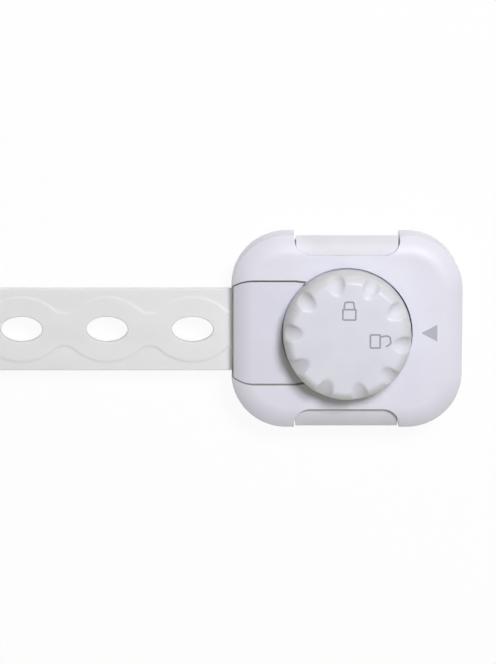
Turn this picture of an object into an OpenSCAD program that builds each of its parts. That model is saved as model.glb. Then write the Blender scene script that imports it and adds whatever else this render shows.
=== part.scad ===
// Cabinet safety lock: a turn knob, two squeeze buttons and a pull-out tongue on an adjustable strap.
// Millimetres. The origin is the middle of the housing's adhesive face. X runs from the strap's far end
// to the housing, Y across the strap and Z away from the adhesive. Drawn unlocked and closed.

/* [Housing] */
// Length along the strap
housing_length = 55.4; // [55:0.2:66]
// Width across the strap
housing_width = 46.6; // [46:0.2:56]
// Height from the base's underside to the flat top
housing_height = 11.8; // [11.8:0.1:14]
// Corner radius seen from the front
corner_radius = 13.2; // [11:0.2:14]
// Side wall of the cover
wall = 2; // [1.6:0.1:2.2]
// Top plate of the cover
top_thickness = 2.4; // [2:0.1:2.4]
// Floor of the base
base_thickness = 2.4; // [2.2:0.1:2.4]
// Radius of the crowned border
crown_radius = 7.4; // [6:0.2:12]
// Width of the crowned border
crown_width = 5.2; // [2:0.2:5.4]

/* [Knob] */
// Diameter over the rim
knob_diameter = 30.8; // [29:0.2:32]
// Height from rim to top
knob_height = 10; // [9.4:0.2:12]
// Radius of the flat top
knob_top_radius = 12.8; // [11.8:0.2:13.4]
// Number of finger flutes
flute_count = 10; // [6:1:12]
// Radius of the flutes
flute_radius = 2; // [1.5:0.1:2.2]
// Distance from the knob's axis to the flutes' inner ends
flute_reach = 10.5; // [10.2:0.1:12]
// Lean of the flutes away from the axis
flute_lean = 55; // [52:1:64]
// First flute's place round the knob
flute_start = -6; // [-18:1:18]

/* [Latch] */
// Half length of the cam, across the prongs when locked
cam_reach = 6.4; // [5.8:0.1:6.4]
// Thickness of a prong of the fork
prong_thickness = 1.6; // [1.4:0.1:1.7]
// Depth of the hooks behind the catches
hook_depth = 1.5; // [1.2:0.1:1.6]
// Travel of a button
button_travel = 2; // [1.8:0.1:2]
// Length of a button's window at the outline
window_length = 25.2; // [23:0.2:27]
// Depth of a button's window from the outline
window_depth = 4.7; // [4.4:0.1:5]
// Gap between a button and the top plate
button_gap = 0.3; // [0.3:0.1:0.8]

/* [Strap] */
// Width of the strap
strap_width = 20; // [19:0.2:20.4]
// Thickness of the strap between its raised bands
strap_thickness = 1.8; // [1.6:0.1:2]
// Height of the raised bands
band_height = 0.35; // [0.2:0.05:0.5]
// Length of a hole along the strap
hole_length = 10; // [8:0.2:11]
// Width of a hole
hole_width = 6.2; // [5.8:0.1:7]
// Distance between holes
hole_pitch = 20.6; // [19:0.2:24]
// Number of holes
hole_count = 6; // [4:1:8]

/* [Anchor] */
// Length along the strap
anchor_length = 34; // [33:0.5:44]
// Width across the strap
anchor_width = 32; // [30:0.5:40]
// Thickness of the closed lid
lid_thickness = 3.6; // [3.2:0.1:5]
// Corner radius seen from the front
anchor_corner = 9; // [7:0.5:10]

/* [Adhesive] */
// Thickness of the foam pads
pad_thickness = 1.2; // [0.8:0.1:2]

/* [Fits] */
// Gap round the tongue and between sliding faces
slide_gap = 0.3; // [0.25:0.05:0.35]
// Open seam between flush faces
seam = 0.35; // [0.3:0.05:0.4]
// Radial clearance of turning fits
running_gap = 0.08; // [0.05:0.01:0.1]

/* [Hidden] */
$fn = 64;
over = 1;
thin_gap = 0.05;
rest_gap = 0.15;

half_length = housing_length / 2;
half_width = housing_width / 2;
base_z = pad_thickness;
floor_z = base_z + base_thickness;
top_z = base_z + housing_height;
under_z = top_z - top_thickness;
edge_radius = 0.9;
edge_steps = 4;
crown_steps = 8;
base_inset = wall + rest_gap;
pad_inset = 3;

knob_screw_radius = 1.2;
knob_screw_head_radius = 2.3;
screw_head = 1.3;
screw_seat = 1.5;
screw_reach = 5.6;
small_screw_radius = 0.9;
small_head_radius = 1.8;
small_head = 1;
small_seat = 1.15;
small_reach = 4.2;
slot_width = 0.6;
slot_depth = 0.7;
tip_share = 0.25;

knob_radius = knob_diameter / 2;
dish_depth = 0.45;
dish_z = top_z - dish_depth;
knob_gap = 0.25;
dish_slope = 1.95;
dish_radius = knob_radius + knob_gap + dish_slope;
groove_depth = 0.8;
knob_sink = 0.5;
knob_z = dish_z - knob_sink;
knob_top = knob_z + knob_height;
knob_skirt = 6;
knob_crown = 0.2;
knob_steps = 9;
knob_wall = 3.9;
groove_width = knob_wall + knob_gap;
knob_roof = 4;
hollow_z = knob_top - knob_roof;
stem_radius = 4;
bearing_radius = 6.4;
bearing_top = hollow_z - rest_gap;
flute_length = 12.4;

washer_thickness = 0.3;
washer_radius = 7;
disc_radius = 7.5;
disc_thickness = 1.2;
disc_top = under_z - washer_thickness;
disc_z = disc_top - disc_thickness;
cam_lift = 1.5;
cam_z = floor_z + cam_lift;
notch_radius = 1.05;
bump_radius = 0.9;
bump_proud = 0.2;
notch_reach = disc_radius + bump_proud;
key_radius = 3.2;
key_flat = 4.6;
key_length = 2.7;
key_end = 0.3;
socket_z = disc_top - key_length - key_end;
cam_web = 0.8;
knob_turn = 90;
lug_angle = 140;
lug_reach = 9;
lug_width = 2.6;
stop_radius = 0.9;
stop_gap = 0.1;
stop_reach = disc_radius + stop_gap + stop_radius;
stop_angle = (lug_width / 2 + stop_radius + stop_gap) / stop_reach * 180 / PI;

leaf_thickness = 0.35;
leaf_back = 0.55;
leaf_x = notch_reach + leaf_back;
leaf_half = 10.6;
leaf_drop = 0.1;
leaf_low = disc_z + leaf_drop;
leaf_width = 1;
leaf_post = 1.2;
leaf_post_length = 2;

carrier_thickness = 2;
carrier_z = floor_z + slide_gap;
split_z = carrier_z + carrier_thickness;
tongue_margin = 0.6;
tongue_half = strap_width / 2 + tongue_margin;
flange = 1;
flange_thickness = 1.5;
flange_z = carrier_z + flange_thickness;
rail_wall = 0.8;
rail_out = tongue_half + flange + slide_gap + rail_wall;
side_room = half_width - wall - rail_out;
stop_overlap = 1.1;
stop_half = window_length / 2 + stop_overlap;
post_radius = 1.8;
post_share = 0.28;
post_end_share = 0.09;
post_x = stop_half + slide_gap + post_radius + (half_length - wall - stop_half) * post_end_share;
post_y = rail_out + slide_gap + post_radius + (side_room - 2 * post_radius - slide_gap) * post_share;
screw_radius = 0.9;
screw_head_radius = 1.6;
flank_depth = 2.1;
flank_angle = 40;
flank_reach = flank_depth * tan(flank_angle);
head_half = tongue_half + flank_reach;
head_setback = 0.5;
head_left = head_setback - half_length;
head_right = -lug_reach - slide_gap;
head_edge = 0.6;
mouth_end = head_right + seam;

prong_gap = 0.35;
prong_in = cam_reach + prong_gap;
squeeze_gap = 0.55;
cam_width = 2 * (prong_in - button_travel - squeeze_gap);
prong_out = prong_in + prong_thickness;
fork_gap = 0.2;
fork_height = disc_z - split_z - fork_gap;
root_length = 4;
root_inset = 0.9;
root_right = head_right - root_inset;
root_left = root_right - root_length;
hook_x = 6.9;
hook_length = 3.9;
hook_out = prong_out + slide_gap + hook_depth;
catch_gap = 0.2;
catch_length = 2;
catch_left = hook_x - catch_gap - catch_length;
catch_in = prong_out + slide_gap;
tongue_screw_x = (root_left + root_right) / 2;
tongue_screw_y = 4.6;

button_inset = 0.15;
button_out = half_width - button_inset;
button_share = 0.34;
button_in = rail_out + (button_out - rail_out) * button_share;
button_end = 0.35;
button_half = window_length / 2 - button_end;
button_low = floor_z + catch_gap;
button_top = under_z - button_gap;
button_recess = 1.35;
button_crown = 7.4;
button_crown_z = top_z - button_recess;
button_edge = 0.5;
button_undercut = 1.7;
lip_share = 0.297;
lip_y = button_in + (button_out - button_in) * lip_share;
pocket_gap = 0.25;
pocket_z = button_crown_z + pocket_gap;
pocket_in = lip_y - button_travel - pocket_gap;
stop_out = half_width - wall - rest_gap;
stop_thickness = 1.5;
window_round = 3.8;
leg_left = -3;
leg_right = 3.5;
leg_in = prong_out + slide_gap;
leg_margin = 0.1;
leg_low = split_z + leg_margin;
leg_top = split_z + fork_height - leg_margin;

coil_radius = 1.35;
wire_radius = 0.2;
coil_turns = 5;
coil_steps = 10;
wire_sides = 6;
spring_margin = 3.05;
spring_x = button_half - spring_margin;
spring_lift = 3.6;
spring_z = floor_z + spring_lift;
spring_pocket = 1.7;
spring_pocket_radius = 1.9;
seat_half = 1.8;
rail_left = base_inset + slide_gap - half_length;
rail_right = seat_half - spring_x;
rail_height = 5.3;
seat_right = spring_x + seat_half;
spring_length = button_in + spring_pocket - rail_out;
pin_radius = 0.8;
pin_length = 1.3;

tab_half = 7;
tab_gap = 1.6;
tab_right = root_left - tab_gap;
peg_share = 0.61;
peg_x = head_left + (tab_right - head_left) * peg_share;
peg_y = 3.6;
peg_radius = 1.7;
peg_height = 2.6;
hole_lead = 9.9;
hole_first = head_left - hole_lead;
hole_last = hole_first - (hole_count - 1) * hole_pitch;
tail_length = 9.2;
tail_end = hole_last - tail_length;
tail_radius = 6;
band_wide = 7.9;
band_narrow = 4;
band_lobe = 9.7;
band_soft = 1.2;
band_steps = 18;
band_inset = 0.4;
band_right = head_left - band_inset;
band_tail = 7.4;
band_left = hole_last - band_tail;

anchor_shift = 1;
anchor_x = hole_last - anchor_shift;
anchor_left = anchor_x - anchor_length / 2;
anchor_right = anchor_x + anchor_length / 2;
deck_z = split_z - band_height;
anchor_rail_top = split_z + strap_thickness + band_height + rest_gap;
lid_gap = 0.2;
lid_z = anchor_rail_top + lid_gap;
lid_top = lid_z + lid_thickness;
lid_wall = 1.8;
lid_crown = 5;
lid_crown_width = 3.4;
hinge_inset = 2.3;
hinge_drop = 0.25;
hinge_x = anchor_left + hinge_inset;
hinge_z = anchor_rail_top - hinge_drop;
knuckle_radius = 2.1;
ear_radius = 2.3;
knuckle_half = 7.8;
ear_out = 11.2;
ear_gap = 0.3;
hinge_pin_radius = 1;
lid_inset = 2.9;
lid_left = hinge_x + lid_inset;
stud_gap = 0.2;
stud_rise = 1;
stud_top = lid_z + stud_rise;
tip_length = 8;
tip_reach = 1.4;
tip_height = 1.3;

// Section of a block with a crowned border: from the middle out to the reach
function crown_points(reach, low, high, round, width, edge) =
    let (fall = sqrt(pow(round - edge, 2) - pow(width - edge, 2)),
         bend = atan2(fall, width - edge))
    concat([[0, low], [reach, low]],
        [for (i = [0:edge_steps]) let (a = bend * i / edge_steps)
            [reach - edge + edge * cos(a), high - round + fall + edge * sin(a)]],
        [for (i = [1:crown_steps]) let (a = bend + (90 - bend) * i / crown_steps)
            [reach - width + round * cos(a), high - round + round * sin(a)]],
        width < reach ? [[0, high]] : []);

// Draws a section of Y and Z along X
module along_x(from, to) {
    translate([from, 0, 0]) rotate([90, 0, 90]) linear_extrude(to - from) children();
}

// Draws a section of X and Z along Y
module along_y(from, to) {
    translate([0, to, 0]) rotate([90, 0, 0]) linear_extrude(to - from) children();
}

module round_plate(length, width, radius) {
    square([length - 2 * radius, width], center = true);
    square([length, width - 2 * radius], center = true);
    for (sx = [-1, 1], sy = [-1, 1])
        translate([sx * (length / 2 - radius), sy * (width / 2 - radius)]) circle(radius);
}

module crowned_block(length, width, radius, points, low, high) {
    mid_x = length / 2 - radius;
    mid_y = width / 2 - radius;
    translate([-mid_x, -mid_y, low]) cube([2 * mid_x, 2 * mid_y, high - low]);
    for (turn = [0, 180]) rotate([0, 0, turn]) {
        translate([mid_x, 0, 0]) along_y(-mid_y, mid_y) polygon(points);
        rotate([0, 0, 90]) translate([mid_y, 0, 0]) along_y(-mid_x, mid_x) polygon(points);
        translate([mid_x, mid_y, 0]) rotate_extrude(angle = 90) polygon(points);
        translate([-mid_x, mid_y, 0]) rotate([0, 0, 90]) rotate_extrude(angle = 90) polygon(points);
    }
}

// Self-tapping screw with a crossed slot, its head's underside at the seat and its tip upward
module screw(radius, head_radius, head, reach) {
    difference() {
        union() {
            translate([0, 0, -head]) cylinder(head, r = head_radius);
            cylinder(reach * (1 - tip_share), r = radius);
            translate([0, 0, reach * (1 - tip_share)])
                cylinder(reach * tip_share, radius, radius * tip_share);
        }
        for (turn = [0, 90]) rotate([0, 0, turn])
            translate([-head_radius / 2, -slot_width / 2, -head - over])
                cube([head_radius, slot_width, over + slot_depth]);
    }
}

// Places at the four posts that join cover and base
module at_posts() {
    for (sx = [-1, 1], sy = [-1, 1]) translate([sx * post_x, sy * post_y, 0]) children();
}

// Hollow of the tongue's way through the cover: wide at the flange, narrow at the body, flared to the top
module mouth_section() {
    low = tongue_half + flange + slide_gap;
    mid = tongue_half + slide_gap;
    lift = seam - slide_gap;
    flare = flank_reach + over * tan(flank_angle);
    polygon([[-low, floor_z], [low, floor_z], [low, flange_z + slide_gap], [mid, flange_z + slide_gap],
        [mid, top_z - flank_depth - lift / tan(flank_angle)], [tongue_half + seam + flare, top_z + over],
        [-tongue_half - seam - flare, top_z + over],
        [-mid, top_z - flank_depth - lift / tan(flank_angle)],
        [-mid, flange_z + slide_gap], [-low, flange_z + slide_gap]]);
}

// Shallow dish round the knob, deeper from the inner radius out to the knob's rim
module dish(inner) {
    low = dish_z - groove_depth;
    rotate_extrude() polygon(concat(inner > 0 ? [[0, dish_z], [inner, dish_z]] : [],
        [[inner, low], [knob_radius + knob_gap, low], [knob_radius + knob_gap, dish_z],
         [dish_radius, top_z], [dish_radius, top_z + over], [0, top_z + over]]));
}

module window_shape() {
    inner = half_width - window_depth;
    half = window_length / 2;
    translate([-half, inner + window_round]) square([window_length, window_depth - window_round + over]);
    translate([window_round - half, inner])
        square([window_length - 2 * window_round, window_depth + over]);
    for (s = [-1, 1]) translate([s * (half - window_round), inner + window_round]) circle(window_round);
}

module housing_cover() color([0.86, 0.86, 0.9]) {
    difference() {
        union() {
            difference() {
                crowned_block(housing_length, housing_width, corner_radius,
                    crown_points(corner_radius, base_z, top_z, crown_radius, crown_width, edge_radius),
                    base_z, top_z);
                translate([0, 0, base_z - over]) linear_extrude(under_z - base_z + over)
                    round_plate(housing_length - 2 * wall, housing_width - 2 * wall,
                        corner_radius - wall);
                dish(knob_radius - groove_width);
            }
            translate([0, 0, under_z]) cylinder(bearing_top - under_z, r = bearing_radius);
            at_posts() translate([0, 0, floor_z])
                cylinder(under_z - floor_z + thin_gap, r = post_radius);
            for (turn = [stop_angle, -knob_turn - stop_angle]) rotate([0, 0, lug_angle + turn])
                translate([stop_reach, 0, disc_z])
                    cylinder(under_z - disc_z + thin_gap, r = stop_radius);
            for (s = [-1, 1])
                translate([leaf_x - leaf_post, s * leaf_half - leaf_post_length / 2, leaf_low])
                    cube([2 * leaf_post, leaf_post_length, under_z - leaf_low + thin_gap]);
        }
        translate([0, 0, under_z - over])
            cylinder(bearing_top - under_z + 2 * over, r = stem_radius + running_gap);
        for (s = [0, 1]) mirror([0, s, 0])
            translate([0, 0, base_z - over]) linear_extrude(housing_height + 2 * over) window_shape();
        for (s = [0, 1]) mirror([0, s, 0])
            translate([-button_half - slide_gap, pocket_in, under_z - over])
                cube([2 * (button_half + slide_gap), half_width + over - pocket_in,
                    pocket_z - under_z + over]);
        along_x(-half_length - over, mouth_end) mouth_section();
        at_posts() translate([0, 0, floor_z - over])
            cylinder(screw_reach + over, r = screw_radius + thin_gap);
        translate([leaf_x - thin_gap, -leaf_half - thin_gap, leaf_low - over])
            cube([leaf_thickness + 2 * thin_gap, 2 * (leaf_half + thin_gap),
                over + leaf_width + thin_gap]);
    }
}

module rail_section() {
    low = tongue_half + flange + slide_gap;
    polygon([[low, floor_z - thin_gap], [rail_out, floor_z - thin_gap], [rail_out, floor_z + rail_height],
        [tongue_half + slide_gap, floor_z + rail_height], [tongue_half + slide_gap, flange_z + slide_gap],
        [low, flange_z + slide_gap]]);
}

module housing_base() color([0.8, 0.8, 0.83]) {
    difference() {
        union() {
            translate([0, 0, base_z]) linear_extrude(base_thickness)
                round_plate(housing_length - 2 * base_inset, housing_width - 2 * base_inset,
                    corner_radius - base_inset);
            for (s = [0, 1]) mirror([0, s, 0]) {
                along_x(rail_left, rail_right) rail_section();
                translate([catch_left, 0, floor_z - thin_gap]) {
                    translate([0, catch_in, 0])
                        cube([catch_length, rail_out - catch_in, rail_height + thin_gap]);
                    translate([0, hook_out + slide_gap, 0])
                        cube([seat_right - catch_left, rail_out - hook_out - slide_gap,
                            rail_height + thin_gap]);
                }
                for (x = [-spring_x, spring_x]) translate([x, rail_out - thin_gap, spring_z])
                    rotate([-90, 0, 0]) cylinder(pin_length + thin_gap, r = pin_radius);
            }
        }
        at_posts() {
            translate([0, 0, base_z - over])
                cylinder(screw_seat + over, r = screw_head_radius + rest_gap);
            translate([0, 0, base_z]) cylinder(base_thickness + over, r = screw_radius + rest_gap);
        }
    }
}

module housing_pad() color([0.92, 0.92, 0.9]) {
    linear_extrude(pad_thickness)
        round_plate(housing_length - 2 * pad_inset, housing_width - 2 * pad_inset, corner_radius - pad_inset);
}

module cover_screws() color([0.6, 0.6, 0.62]) {
    at_posts() translate([0, 0, base_z + screw_seat])
        screw(screw_radius, screw_head_radius, screw_head, screw_reach);
}

module detent_spring() color([0.65, 0.65, 0.68]) {
    translate([0, 0, leaf_low]) linear_extrude(leaf_width) {
        translate([leaf_x, -leaf_half]) square([leaf_thickness, 2 * leaf_half]);
        difference() {
            translate([notch_reach, 0]) circle(bump_radius);
            translate([leaf_x + thin_gap, -leaf_half]) square(2 * leaf_half);
        }
    }
}

// Wire round a helix along Z, from ring to ring
module coil(radius, wire, turns, height) {
    rings = turns * coil_steps;
    rise = height - 2 * (wire + thin_gap);
    points = [for (i = [0:rings], j = [0:wire_sides - 1])
        let (a = 360 * i / coil_steps, b = 360 * j / wire_sides, r = radius + wire * cos(b))
        [r * cos(a), r * sin(a), wire + thin_gap + rise * i / rings + wire * sin(b)]];
    sides = [for (i = [0:rings - 1], j = [0:wire_sides - 1])
        let (k = (j + 1) % wire_sides)
        [i * wire_sides + j, i * wire_sides + k, (i + 1) * wire_sides + k, (i + 1) * wire_sides + j]];
    ends = [[for (j = [wire_sides - 1:-1:0]) j], [for (j = [0:wire_sides - 1]) rings * wire_sides + j]];
    echo(coil_gap = rise / turns - 2 * wire);
    polyhedron(points, concat(sides, ends));
}

module button_springs() {
    for (x = [-spring_x, spring_x]) translate([x, rail_out, spring_z]) rotate([-90, 0, 0])
        coil(coil_radius, wire_radius, coil_turns, spring_length);
}

module upper_button_springs() color([0.65, 0.65, 0.68]) button_springs();

module lower_button_springs() color([0.65, 0.65, 0.68]) mirror([0, 1, 0]) button_springs();

module knob() color([0.87, 0.87, 0.91]) {
    rise = knob_height - knob_crown - knob_skirt;
    section = concat([[0, knob_z], [knob_radius, knob_z]],
        [for (i = [0:knob_steps]) let (a = 90 * i / knob_steps)
            [knob_top_radius + (knob_radius - knob_top_radius) * cos(a),
             knob_z + knob_skirt + rise * sin(a)]],
        [[0, knob_top]]);
    difference() {
        rotate_extrude() polygon(section);
        for (i = [0:flute_count - 1]) rotate([0, 0, flute_start + 360 * i / flute_count])
            translate([flute_reach + flute_radius * cos(flute_lean), 0,
                knob_top + flute_radius * sin(flute_lean)])
                rotate([0, -flute_lean, 0]) cylinder(flute_length, r = flute_radius, center = true);
        translate([0, 0, knob_z - over]) cylinder(hollow_z - knob_z + over, r = knob_radius - knob_wall);
    }
    difference() {
        union() {
            translate([0, 0, disc_top]) cylinder(hollow_z - disc_top + thin_gap, r = stem_radius);
            translate([0, 0, disc_top - key_length]) linear_extrude(key_length + thin_gap) key_shape(0);
        }
        translate([0, 0, socket_z - over])
            cylinder(screw_reach + over, r = knob_screw_radius + thin_gap);
    }
}

// Stem's end with two flats, which drives the cam
module key_shape(gap) {
    intersection() {
        circle(key_radius + gap);
        square([2 * key_radius + over, key_flat + 2 * gap], center = true);
    }
}

module lock_cam() color([0.75, 0.77, 0.8]) {
    difference() {
        union() {
            translate([0, 0, cam_z]) linear_extrude(disc_z - cam_z + thin_gap) intersection() {
                circle(cam_reach);
                square([2 * cam_reach + over, cam_width], center = true);
            }
            translate([0, 0, disc_z]) linear_extrude(disc_thickness) {
                difference() {
                    circle(disc_radius);
                    for (turn = [0, knob_turn])
                        rotate(turn) translate([notch_reach, 0]) circle(notch_radius);
                }
                rotate(lug_angle) translate([stem_radius + over, -lug_width / 2])
                    square([lug_reach - stem_radius - over, lug_width]);
            }
        }
        translate([0, 0, socket_z]) linear_extrude(disc_top - socket_z + over) key_shape(thin_gap);
        translate([0, 0, cam_z - over]) {
            cylinder(socket_z - cam_z + 2 * over, r = knob_screw_radius + rest_gap);
            cylinder(socket_z - cam_web - cam_z + over, r = knob_screw_head_radius + rest_gap);
        }
    }
}

module friction_washer() color([0.7, 0.72, 0.74]) {
    translate([0, 0, disc_top + thin_gap]) linear_extrude(washer_thickness - 2 * thin_gap)
        difference() {
            circle(washer_radius);
            circle(stem_radius + rest_gap);
        }
}

module knob_screw() color([0.6, 0.6, 0.62]) {
    translate([0, 0, socket_z - cam_web])
        screw(knob_screw_radius, knob_screw_head_radius, screw_head, screw_reach);
}

module button_shape() {
    reach = button_out - lip_y;
    section = crown_points(reach, button_low, button_crown_z, button_crown, reach, button_edge);
    difference() {
        union() {
            along_x(-button_half, button_half) {
                translate([button_in, button_low])
                    square([lip_y - button_in + thin_gap, button_top - button_low]);
                translate([lip_y, 0]) polygon([for (i = [0:len(section) - 1])
                    i == 1 ? section[i] - [button_undercut, 0] : section[i]]);
            }
            translate([-stop_half, stop_out - stop_thickness, button_low])
                cube([2 * stop_half, stop_thickness, button_top - button_low]);
            translate([leg_left, leg_in, leg_low])
                cube([leg_right - leg_left, button_in - leg_in + thin_gap, leg_top - leg_low]);
        }
        for (x = [-spring_x, spring_x]) translate([x, button_in - over, spring_z]) rotate([-90, 0, 0])
            cylinder(spring_pocket + over, r = spring_pocket_radius);
    }
}

module upper_button() color([0.85, 0.85, 0.89]) button_shape();

module lower_button() color([0.85, 0.85, 0.89]) mirror([0, 1, 0]) button_shape();

module at_tongue_screws() {
    for (s = [-1, 1]) translate([tongue_screw_x, s * tongue_screw_y, 0]) children();
}

module at_pegs() {
    for (s = [-1, 1]) translate([peg_x, s * peg_y, 0]) children();
}

module tongue_head() color([0.86, 0.86, 0.9]) {
    reach = head_right - head_left;
    section = crown_points(reach, split_z, top_z, crown_radius, crown_width - head_setback, head_edge);
    profile = [for (p = section) [head_right - p[0], p[1]]];
    difference() {
        intersection() {
            along_x(head_left - over, head_right)
                polygon([[-tongue_half, split_z], [tongue_half, split_z], [tongue_half, top_z - flank_depth],
                    [head_half, top_z], [-head_half, top_z], [-tongue_half, top_z - flank_depth]]);
            along_y(-head_half - over, head_half + over) polygon(profile);
        }
        dish(0);
        translate([head_left - over, -tab_half - rest_gap, split_z - over])
            cube([tab_right - head_left + over + rest_gap, 2 * (tab_half + rest_gap),
                strap_thickness + over + thin_gap]);
        at_pegs() translate([0, 0, split_z - over])
            cylinder(peg_height + over + rest_gap, r = peg_radius + rest_gap);
        translate([root_left - rest_gap, -prong_out - rest_gap, split_z - over])
            cube([head_right - root_left + rest_gap + over, 2 * (prong_out + rest_gap),
                fork_height + over + thin_gap]);
        at_tongue_screws() translate([0, 0, split_z])
            cylinder(small_reach, r = small_screw_radius + thin_gap);
    }
}

module tongue_carrier() color([0.84, 0.84, 0.88]) {
    difference() {
        union() {
            along_x(head_left, head_right) polygon([[-tongue_half - flange, carrier_z],
                [tongue_half + flange, carrier_z], [tongue_half + flange, flange_z],
                [tongue_half, flange_z], [tongue_half, split_z], [-tongue_half, split_z],
                [-tongue_half, flange_z], [-tongue_half - flange, flange_z]]);
            at_pegs() translate([0, 0, split_z - thin_gap])
                cylinder(peg_height + thin_gap, r = peg_radius);
        }
        at_tongue_screws() {
            translate([0, 0, carrier_z - over])
                cylinder(small_seat + over, r = small_head_radius + rest_gap);
            translate([0, 0, carrier_z])
                cylinder(carrier_thickness + over, r = small_screw_radius + rest_gap);
        }
    }
}

module tongue_screws() color([0.6, 0.6, 0.62]) {
    at_tongue_screws() translate([0, 0, carrier_z + small_seat])
        screw(small_screw_radius, small_head_radius, small_head, small_reach);
}

module latch_fork() color([0.93, 0.92, 0.88]) {
    translate([0, 0, split_z]) linear_extrude(fork_height) {
        difference() {
            translate([root_left, -prong_out]) square([root_right - root_left, 2 * prong_out]);
            at_tongue_screws() circle(small_screw_radius + rest_gap);
        }
        for (s = [0, 1]) mirror([0, s, 0]) {
            translate([root_right - thin_gap, prong_in])
                square([hook_x + hook_length - root_right + thin_gap, prong_thickness]);
            polygon([[hook_x, prong_in], [hook_x + hook_length, prong_in],
                [hook_x + hook_length, prong_out], [hook_x + slide_gap, hook_out], [hook_x, hook_out]]);
        }
    }
}

// Oval of a strap hole, larger by a gap all round
module hole_shape(gap) {
    scale([(hole_length / 2 + gap) / (hole_width / 2 + gap), 1]) circle(hole_width / 2 + gap);
}

// Half width of the band: an oval lobe round each hole, softly joined to the neck between two holes
function band_half(x) =
    let (turns = (hole_first - x) / hole_pitch,
         off = (turns - round(turns)) * hole_pitch,
         lobe = band_wide * sqrt(max(0, 1 - pow(off / band_lobe, 2))))
    (lobe + band_narrow + sqrt(pow(lobe - band_narrow, 2) + pow(band_soft, 2))) / 2;

module band_shape() {
    count = round((band_right - band_left) / hole_pitch * band_steps);
    edge = [for (i = [0:count]) let (x = band_left + (band_right - band_left) * i / count)
        [x, band_half(x)]];
    polygon(concat(edge, [for (i = [count:-1:0]) [edge[i][0], -edge[i][1]]]));
}

module strap() color([0.88, 0.88, 0.87]) {
    difference() {
        union() {
            translate([0, 0, split_z]) linear_extrude(strap_thickness) {
                translate([tail_end + tail_radius, -strap_width / 2])
                    square([head_left - rest_gap - tail_end - tail_radius, strap_width]);
                translate([tail_end, tail_radius - strap_width / 2])
                    square([tail_radius + over, strap_width - 2 * tail_radius]);
                for (s = [-1, 1]) translate([tail_end + tail_radius, s * (strap_width / 2 - tail_radius)])
                    circle(tail_radius);
                translate([head_left - over, -tab_half])
                    square([tab_right - head_left + over, 2 * tab_half]);
            }
            translate([0, 0, split_z - band_height])
                linear_extrude(strap_thickness + 2 * band_height) band_shape();
        }
        for (i = [0:hole_count - 1]) translate([hole_first - i * hole_pitch, 0, split_z - over])
            linear_extrude(strap_thickness + 2 * over) hole_shape(0);
        at_pegs() translate([0, 0, split_z - over])
            cylinder(strap_thickness + 2 * over, r = peg_radius + rest_gap);
    }
}

// Space of the lid's knuckle between the base's ears
module knuckle_space() {
    along_y(-knuckle_half - ear_gap, knuckle_half + ear_gap) {
        translate([hinge_x, hinge_z]) circle(knuckle_radius + ear_gap);
        translate([anchor_left - over, hinge_z - knuckle_radius - ear_gap])
            square([hinge_x - anchor_left + over, 2 * (knuckle_radius + ear_gap)]);
        translate([hinge_x, hinge_z]) square(knuckle_radius + ear_gap);
    }
}

module anchor_base() color([0.84, 0.84, 0.88]) {
    channel = strap_width / 2 + slide_gap;
    difference() {
        union() {
            difference() {
                translate([anchor_x, 0, base_z]) linear_extrude(anchor_rail_top - base_z)
                    round_plate(anchor_length, anchor_width, anchor_corner);
                translate([tail_end - slide_gap, -channel, deck_z])
                    cube([anchor_right - tail_end + 2 * over, 2 * channel,
                        anchor_rail_top - deck_z + over]);
            }
            translate([hole_last, 0, deck_z - thin_gap]) linear_extrude(stud_top - deck_z + thin_gap)
                hole_shape(-stud_gap);
            for (s = [0, 1]) mirror([0, s, 0]) along_y(knuckle_half + ear_gap, ear_out)
                translate([hinge_x, hinge_z]) circle(ear_radius);
        }
        knuckle_space();
        along_y(-ear_out - over, ear_out) translate([hinge_x, hinge_z]) circle(hinge_pin_radius);
    }
}

module anchor_pad() color([0.92, 0.92, 0.9]) {
    translate([anchor_x, 0, 0]) linear_extrude(pad_thickness)
        round_plate(anchor_length - pad_inset, anchor_width - pad_inset, anchor_corner - pad_inset / 2);
}

module hinge_pin() color([0.62, 0.62, 0.64]) {
    along_y(-ear_out, ear_out) translate([hinge_x, hinge_z]) circle(hinge_pin_radius);
}

module anchor_lid() color([0.86, 0.86, 0.9]) {
    lid_length = anchor_right - lid_left;
    mid = (anchor_right + lid_left) / 2;
    difference() {
        union() {
            translate([mid, 0, 0]) crowned_block(lid_length, anchor_width, anchor_corner,
                crown_points(anchor_corner, lid_z, lid_top, lid_crown, lid_crown_width, edge_radius),
                lid_z, lid_top);
            along_y(-knuckle_half, knuckle_half) {
                translate([hinge_x, hinge_z]) circle(knuckle_radius);
                translate([hinge_x, lid_z])
                    square([lid_left - hinge_x + lid_wall, hinge_z + knuckle_radius - lid_z]);
            }
            translate([anchor_right - over, -tip_length / 2, lid_z])
                cube([over + tip_reach, tip_length, tip_height]);
        }
        translate([mid, 0, lid_z - over]) linear_extrude(lid_thickness - lid_wall + over)
            round_plate(lid_length - 2 * lid_wall, anchor_width - 2 * lid_wall, anchor_corner - lid_wall);
        along_y(-knuckle_half - over, knuckle_half + over)
            translate([hinge_x, hinge_z]) circle(hinge_pin_radius + running_gap);
    }
}

housing_cover();
housing_base();
housing_pad();
cover_screws();
detent_spring();
upper_button_springs();
lower_button_springs();
knob();
lock_cam();
friction_washer();
knob_screw();
upper_button();
lower_button();
tongue_head();
tongue_carrier();
tongue_screws();
latch_fork();
strap();
anchor_base();
anchor_pad();
hinge_pin();
anchor_lid();
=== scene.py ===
import math
import bpy
import numpy as np
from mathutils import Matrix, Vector
from mathutils.geometry import delaunay_2d_cdt


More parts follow.
